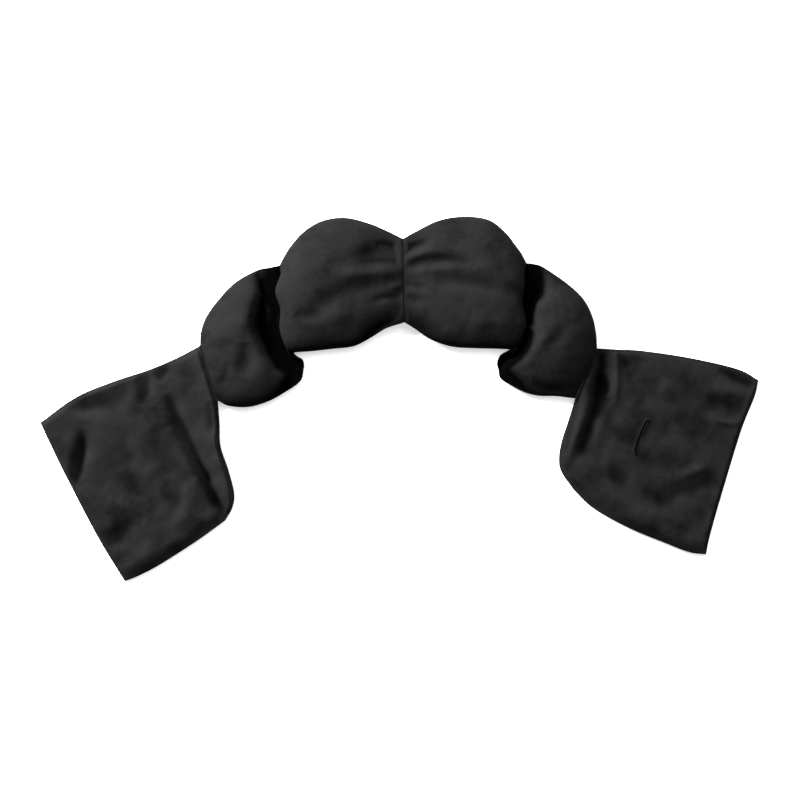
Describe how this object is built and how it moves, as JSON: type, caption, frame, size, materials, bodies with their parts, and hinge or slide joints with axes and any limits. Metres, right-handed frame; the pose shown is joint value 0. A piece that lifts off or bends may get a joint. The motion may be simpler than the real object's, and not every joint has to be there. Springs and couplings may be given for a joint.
{
  "type": "weighted eye pillow",
  "caption": "Soft strap-shaped weighted eye pillow: bead-filled eye and side pods joined by gathered seams, with a flat flap at each end and a pull-through slit.",
  "frame": {"origin": "on the table, below the middle of the whole outline as the strap lies in its arc", "axes": "+X along the strap towards the flap with the slit, +Y towards the outer side of the arc, +Z out of the front cover"},
  "size_m": [0.6201, 0.3146, 0.0249],
  "materials": {
    "fleece": "matte",
    "jersey": "matte",
    "thread": "satin",
    "liner": "matte",
    "beads": "satin"
  },
  "bodies": {
    "left_eye_pod": {"left_eye_front_cover": "fleece", "left_eye_back_cover": "jersey", "left_eye_edge_seam": "thread", "left_eye_bead_liner": "liner", "left_eye_bead_fill": "beads", "centre_seam_roll": "fleece", "centre_seam_stitches": "thread", "left_inner_seam_roll": "fleece", "left_inner_seam_stitches": "thread"},
    "right_eye_pod": {"right_eye_front_cover": "fleece", "right_eye_back_cover": "jersey", "right_eye_edge_seam": "thread", "right_eye_bead_liner": "liner", "right_eye_bead_fill": "beads", "right_inner_seam_roll": "fleece", "right_inner_seam_stitches": "thread"},
    "left_side_pod": {"left_side_front_cover": "fleece", "left_side_back_cover": "jersey", "left_side_edge_seam": "thread", "left_side_bead_liner": "liner", "left_side_bead_fill": "beads", "left_outer_seam_roll": "fleece", "left_outer_seam_stitches": "thread"},
    "right_side_pod": {"right_side_front_cover": "fleece", "right_side_back_cover": "jersey", "right_side_edge_seam": "thread", "right_side_bead_liner": "liner", "right_side_bead_fill": "beads", "right_outer_seam_roll": "fleece", "right_outer_seam_stitches": "thread"},
    "left_flap": {"left_flap_front_ply": "fleece", "left_flap_back_ply": "jersey", "left_flap_edge_seam": "thread"},
    "right_flap": {"right_flap_front_ply": "fleece", "right_flap_back_ply": "jersey", "right_flap_edge_seam": "thread", "slit_binding": "thread", "slit_bartacks": "thread"}
  },
  "joints": [
    {"name": "centre_fold", "type": "hinge", "parent": "left_eye_pod", "child": "right_eye_pod", "pos_m": [0.00325, 0.10265, 0.007], "axis": [-0.0181, 0.9998, 0], "range_deg": [-75, 75]},
    {"name": "left_inner_fold", "type": "hinge", "parent": "left_eye_pod", "child": "left_side_pod", "pos_m": [-0.0996, 0.0775, 0.006], "axis": [-0.111, 0.9938, 0], "range_deg": [-75, 60]},
    {"name": "right_inner_fold", "type": "hinge", "parent": "right_eye_pod", "child": "right_side_pod", "pos_m": [0.10435, 0.08055, 0.006], "axis": [0.1265, 0.992, 0], "range_deg": [-60, 75]},
    {"name": "left_outer_fold", "type": "hinge", "parent": "left_side_pod", "child": "left_flap", "pos_m": [-0.16495, 0.0234, 0.0016], "axis": [-0.2997, 0.954, 0], "range_deg": [-75, 75]},
    {"name": "right_outer_fold", "type": "hinge", "parent": "right_side_pod", "child": "right_flap", "pos_m": [0.16065, 0.02295, 0.0016], "axis": [0.3918, 0.92, 0], "range_deg": [-75, 75]}
  ]
}
